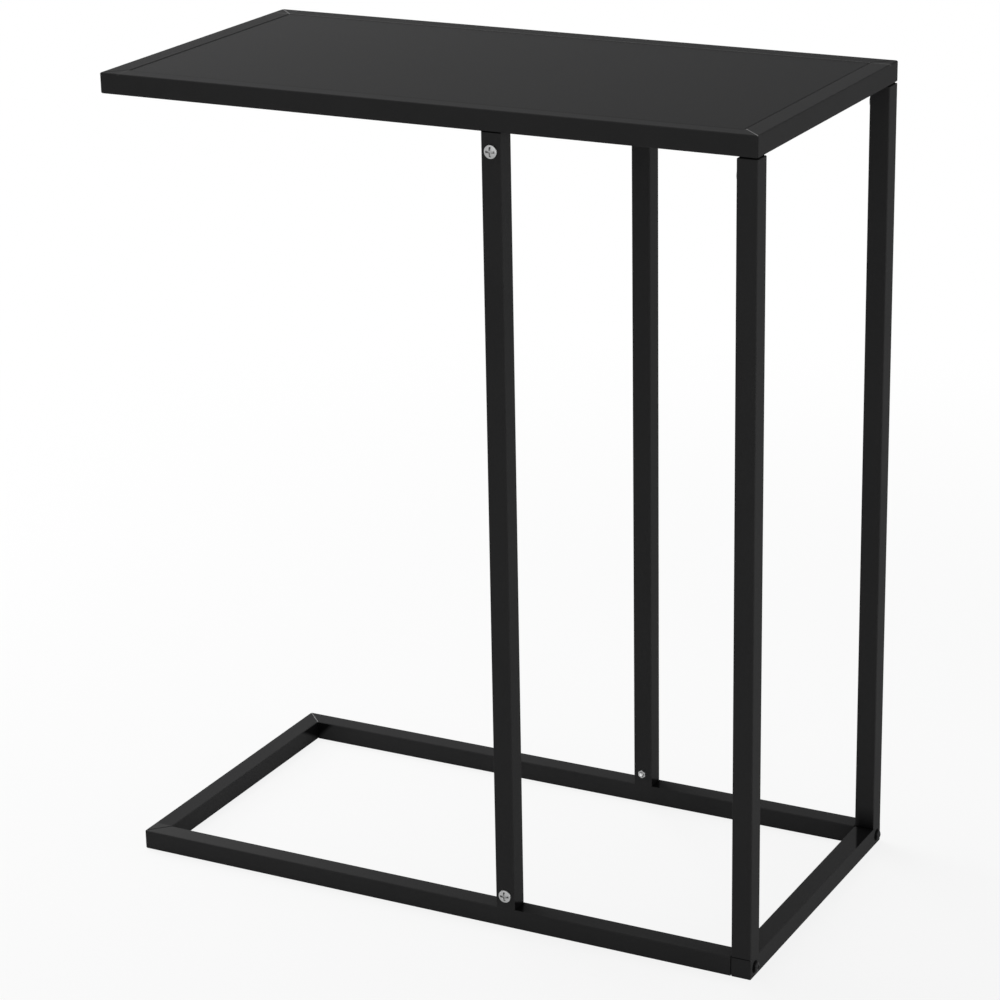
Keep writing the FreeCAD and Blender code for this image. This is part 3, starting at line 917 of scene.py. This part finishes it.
def domed_head(diameter, height, rim):
    """Profile of a domed head on a straight rim, from the edge of its seat to the crown."""
    radius = diameter / 2
    crown = height - rim
    sphere = (crown ** 2 + radius ** 2) / (2 * crown)
    rim_angle = math.asin(radius / sphere)
    points = [(radius - RIM_ROUNDING, 0.0), (radius, RIM_ROUNDING), (radius, rim - RIM_ROUNDING)]
    points.append((radius - RIM_ROUNDING / 2, rim))
    for step in range(1, DOME_STEPS):
        angle = rim_angle * (1.0 - step / DOME_STEPS)
        points.append((sphere * math.sin(angle), height - sphere * (1.0 - math.cos(angle))))
    return points + [(0.0, height)]


def threaded_shank(diameter, pitch, length):
    """Profile of a shank from the middle of its tip to its seat, with thread grooves behind the tip."""
    radius = diameter / 2
    root = radius - pitch * THREAD_DEPTH_SHARE
    points = [(0.0, -length), (radius - TIP_BEVEL, -length), (radius, TIP_BEVEL - length)]
    for turn in range(THREADED_TURNS):
        crest = TIP_BEVEL - length + turn * pitch
        points += [(root, crest + pitch / 2), (radius, crest + pitch)]
    return points + [(radius, 0.0)]


def domed_bolt(name, diameter, pitch, length, head_diameter, head_height, head_rim):
    """A bolt that hangs below Z = 0 from its domed head."""
    shank = threaded_shank(diameter, pitch, length)
    return turned(name, shank + domed_head(head_diameter, head_height, head_rim))


def cross(span, width):
    """Outline of a cross about the origin."""
    arm = [(span / 2, -width / 2), (span / 2, width / 2), (width / 2, width / 2)]
    quarters = ((1, 0), (0, 1), (-1, 0), (0, -1))
    return [(x * c - y * s, x * s + y * c) for c, s in quarters for x, y in arm]


def cut_cross_recess(bolt):
    """Sink a tapered cross into a bolt's head."""
    floor = BOLT_HEAD_HEIGHT - RECESS_DEPTH
    mouth = BOLT_HEAD_HEIGHT + CUT_MARGIN
    growth = (mouth - floor) / RECESS_DEPTH
    span = RECESS_FLOOR_SPAN + (RECESS_SPAN - RECESS_FLOOR_SPAN) * growth
    width = RECESS_FLOOR_WIDTH + (RECESS_WIDTH - RECESS_FLOOR_WIDTH) * growth
    lower = cross(RECESS_FLOOR_SPAN, RECESS_FLOOR_WIDTH)
    combine(bolt, frustum("recess", lower, cross(span, width), floor, mouth), "DIFFERENCE")


def cut_key_socket(bolt):
    """Sink a hexagonal socket with a drill point into a button head."""
    floor = BASE_HEAD_HEIGHT - KEY_DEPTH
    outline = hexagon(KEY_ACROSS_FLATS)
    key = frustum("key", outline, outline, floor, BASE_HEAD_HEIGHT + CUT_MARGIN)
    point = (0.0, floor - KEY_DRILL_DEPTH)
    back = (0.0, floor + KEY_DRILL_DEPTH)
    drill = turned("drill", [point, (KEY_ACROSS_FLATS / 2, floor), back])
    combine(bolt, key, "DIFFERENCE")
    combine(bolt, drill, "DIFFERENCE")


def turned_through_nut(name, lower_half):
    """A turned shape whose profile is the same at both faces of a nut, from the lower half of it."""
    upper_half = [(radius, NUT_HEIGHT - height) for radius, height in reversed(lower_half)]
    return turned(name, lower_half + upper_half)


def hexagon_nut():
    """A nut with chamfered corners on both faces, seated on Z = 0."""
    outline = hexagon(NUT_ACROSS_FLATS)
    nut = frustum("nut", outline, outline, 0.0, NUT_HEIGHT)
    face = NUT_ACROSS_FLATS / 2 * NUT_FACE_SHARE
    corner = NUT_ACROSS_FLATS / math.sqrt(3.0) + CUT_MARGIN
    rise = (corner - face) * math.tan(NUT_CHAMFER_ANGLE)
    combine(nut, turned_through_nut("chamfers", [(0.0, 0.0), (face, 0.0), (corner, rise)]), "INTERSECT")
    bore = BOLT_DIAMETER / 2
    mouth = bore + TIP_BEVEL + CUT_MARGIN
    drill = turned_through_nut("drill", [(0.0, -CUT_MARGIN), (mouth, -CUT_MARGIN), (bore, TIP_BEVEL)])
    combine(nut, drill, "DIFFERENCE")
    return nut


def fastener_tree():
    """Copies of one fastener at points, each turned to its facing and spun about it."""
    sockets = {"Geometry": "Geometry", "Fastener": "Object", "Finish": "Material"}
    tree = ShapeTree("fasteners", sockets)
    master = tree.node(
        "GeometryNodeObjectInfo", inputs={"Object": tree.size("Fastener")}, output="Geometry"
    )
    facing = tree.node(
        "GeometryNodeInputNamedAttribute", {"data_type": "FLOAT_VECTOR"}, {"Name": "facing"}
    )
    spin = tree.node("GeometryNodeInputNamedAttribute", {"data_type": "FLOAT"}, {"Name": "spin"})
    turn = tree.node("FunctionNodeAlignRotationToVector", {"axis": "Z"}, {"Vector": facing})
    twist = tree.node("FunctionNodeAxisAngleToRotation", inputs={"Axis": Z, "Angle": spin})
    turn = tree.node(
        "FunctionNodeRotateRotation", {"rotation_space": "LOCAL"}, {"Rotation": turn, "Rotate By": twist}
    )
    copies = tree.node(
        "GeometryNodeInstanceOnPoints",
        inputs={"Points": tree.size("Geometry"), "Instance": tree.merged(master), "Rotation": turn},
    )
    tree.finish(copies, tree.size("Finish"))
    return tree


def fasteners(tree, name, master, places, slot):
    """All fasteners of one kind. A place is a seat, the direction of the head, and a turn in degrees."""
    points = bpy.data.meshes.new(name)
    points.from_pydata([seat for seat, _, _ in places], [], [])
    facing = points.attributes.new("facing", "FLOAT_VECTOR", "POINT")
    for point, (_, direction, _) in zip(facing.data, places):
        point.vector = direction
    spin = points.attributes.new("spin", "FLOAT", "POINT")
    for point, (_, _, turn) in zip(spin.data, places):
        point.value = math.radians(turn)
    piece = new_piece(name + "_set", points)
    tree.apply(piece, {"Fastener": master, "Finish": FINISHES[slot]})
    settle(piece)
    bpy.data.objects.remove(master)
    piece.data.shade_smooth()
    piece.data.set_sharp_from_angle(angle=SHARP_ANGLE)
    stands_for(piece, name)


def all_fasteners():
    """Bolts, nuts and screws of the whole table."""
    tree = fastener_tree()
    bolt_places = []
    nut_places = []
    leg_places = []
    base_places = []
    for side, sign in SIDES.items():
        low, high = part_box(f"{side}_upright")
        middle = (low + high) / 2
        outer = middle.y + sign * TUBE_SIZE / 2
        inner = middle.y - sign * TUBE_SIZE / 2
        for k, height in enumerate(BOLT_HEIGHTS):
            bolt_places.append((Vector((middle.x, outer, height)), Y * sign, BOLT_TURNS[side][k]))
            nut_places.append((Vector((middle.x, inner, height)), Y * -sign, NUT_TURNS[side][k]))
        low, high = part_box(f"{side}_leg")
        middle = (low + high) / 2
        screw_seat = Vector((low.x, middle.y, BOLT_HEIGHTS[1]))
        leg_places.append((screw_seat, -X, LEG_SCREW_TURNS[side]))
        button_seat = Vector((high.x, middle.y, TUBE_SIZE / 2))
        base_places.append((button_seat, X, BASE_BOLT_TURNS[side]))

    bolt_length = TUBE_SIZE + NUT_HEIGHT + BOLT_TIP
    head = (BOLT_HEAD_DIAMETER, BOLT_HEAD_HEIGHT, BOLT_HEAD_RIM)
    bolt = domed_bolt("bolt", BOLT_DIAMETER, BOLT_PITCH, bolt_length, *head)
    cut_cross_recess(bolt)
    fasteners(tree, "upright_bolts", bolt, bolt_places, "zinc_steel")
    fasteners(tree, "upright_nuts", hexagon_nut(), nut_places, "zinc_steel")

    screw_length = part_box("leg_screws")[1].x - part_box("front_leg")[0].x
    screw = domed_bolt("screw", BOLT_DIAMETER, BOLT_PITCH, screw_length, *head)
    cut_cross_recess(screw)
    fasteners(tree, "leg_screws", screw, leg_places, "zinc_steel")

    base_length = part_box("front_leg")[1].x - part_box("base_bolts")[0].x
    button_head = (BASE_HEAD_DIAMETER, BASE_HEAD_HEIGHT, BASE_HEAD_RIM)
    button = domed_bolt("button", BASE_BOLT_DIAMETER, BASE_BOLT_PITCH, base_length, *button_head)
    cut_key_socket(button)
    fasteners(tree, "base_bolts", button, base_places, "black_oxide_steel")


def dress_cad_nodes():
    """Give each CAD node that stays in view the finish of its slot."""
    for part in frame["record"]["subparts"]:
        node = frame["nodes"][part["node"]]
        if not node.hide_render:
            node.data.materials.clear()
            node.data.materials.append(FINISHES[part["material_slot"]])


def seen_white(tree):
    """1 for rays that see the studio itself or its mirror image, and 0 for its light on the table."""
    seen = [
        tree.node("ShaderNodeLightPath", output=ray)
        for ray in ("Is Camera Ray", "Is Glossy Ray", "Is Transmission Ray")
    ]
    return seen[0].at_least(seen[1]).at_least(seen[2])


def studio_world():
    """A white surround that lights the table evenly."""
    world = bpy.data.worlds.new("studio")
    world.use_nodes = True
    tree = Tree(world.node_tree)
    world.node_tree.nodes.clear()
    level = SURROUND_LIGHT + (1.0 - SURROUND_LIGHT) * seen_white(tree)
    light = tree.node("ShaderNodeBackground", inputs={"Color": WHITE, "Strength": level})
    tree.node("ShaderNodeOutputWorld", inputs={"Surface": light})
    bpy.context.scene.world = world


def studio_floor():
    """A pale floor that fades to white away from the table."""
    shape = bmesh.new()
    squares = {"x_segments": FLOOR_SQUARES, "y_segments": FLOOR_SQUARES}
    bmesh.ops.create_grid(shape, size=FLOOR_HALF_SIZE, **squares)
    floor = from_bmesh("studio_floor", shape)
    floor.data.transform(Matrix.Translation(-Z * FLOOR_DROP))
    paint = Finish("floor_paint")
    away = paint.node("ShaderNodeVectorMath", {"operation": "LENGTH"}, {0: paint.place}, output="Value")
    fade = paint.node(
        "ShaderNodeMapRange",
        {"interpolation_type": "SMOOTHSTEP"},
        {"Value": away, "From Min": FLOOR_FADE_START, "From Max": FLOOR_FADE_END},
    )
    colour = paint.between(paint.noise(FLOOR_CLOUD), *FLOOR_TONES)
    pale = paint.node("ShaderNodeBsdfDiffuse", inputs={"Color": colour})
    white = paint.node("ShaderNodeEmission", inputs={"Color": WHITE, "Strength": 1.0})
    share = (FLOOR_WHITE + (1.0 - FLOOR_WHITE) * fade) * seen_white(paint)
    mixed = paint.node("ShaderNodeMixShader", inputs={0: share, 1: pale, 2: white})
    paint.node("ShaderNodeOutputMaterial", inputs={"Surface": mixed})
    floor.data.materials.append(paint.material)


def aimed(place, target):
    """Where a lamp or camera stands, and how it is turned to look at a point."""
    turn = (target - place).to_track_quat("-Z", "Y").to_matrix().to_4x4()
    return Matrix.Translation(place) @ turn


def hold(name, data, stand):
    """Set up a lamp or camera in the studio."""
    holder = bpy.data.objects.new(name, data)
    bpy.context.scene.collection.objects.link(holder)
    holder.matrix_world = stand
    return holder


def soft_box(name, place, size, power):
    """A large soft lamp that looks at the table."""
    lamp = bpy.data.lights.new(name, "AREA")
    lamp.shape = "RECTANGLE"
    lamp.size, lamp.size_y = size
    lamp.energy = power
    hold(name, lamp, aimed(Vector(place), LAMP_TARGET))


def photo_camera():
    """The camera at the photograph's viewing angle."""
    camera = bpy.data.cameras.new("photo_camera")
    camera.lens = CAMERA_LENS
    camera.sensor_width = CAMERA_SENSOR
    camera.sensor_fit = "HORIZONTAL"
    stand = aimed(CAMERA_PLACE, CAMERA_TARGET) @ Matrix.Rotation(CAMERA_ROLL, 4, "Z")
    bpy.context.scene.camera = hold("photo_camera", camera, stand)


photo_camera()
frame_tubes()
all_fasteners()
dress_cad_nodes()
studio_world()
studio_floor()
for lamp_name, soft_box_values in SOFT_BOXES.items():
    soft_box(lamp_name, **soft_box_values)
bpy.context.scene.view_settings.view_transform = "Standard"
